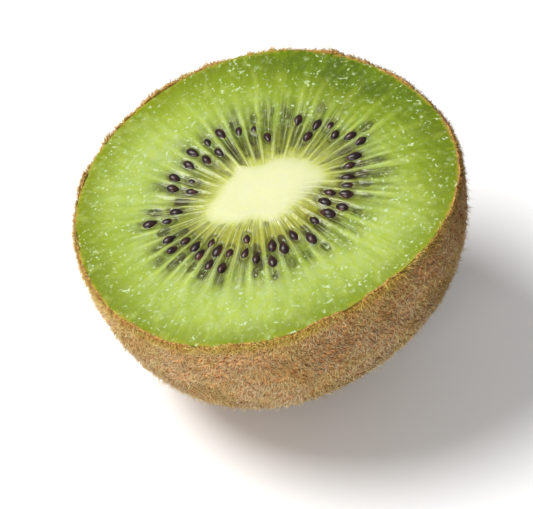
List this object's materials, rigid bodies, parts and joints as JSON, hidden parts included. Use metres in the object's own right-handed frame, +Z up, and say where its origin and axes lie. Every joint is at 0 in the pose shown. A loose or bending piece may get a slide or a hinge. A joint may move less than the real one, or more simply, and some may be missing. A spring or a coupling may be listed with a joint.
{
  "type": "halved kiwi fruit",
  "caption": "Half of a kiwi fruit cut straight across its middle, with seeds in its cut face, a pale core and a thin downy skin.",
  "frame": {"origin": "centre of the bounding box's bottom, on the surface that the fruit lies on", "axes": "+Z up; +X along the cut face's longer diameter, towards its raised side; the cut face leans over towards -X"},
  "size_m": [0.0538, 0.0486, 0.0373],
  "materials": {
    "flesh": "wet translucent green flesh with fine pale rays, dark glossy seeds, and a thin brown skin under short golden down",
    "core": "firm moist cream-coloured core, paler than the flesh"
  },
  "bodies": {
    "root": {"flesh": "flesh", "core": "core"}
  },
  "joints": []
}
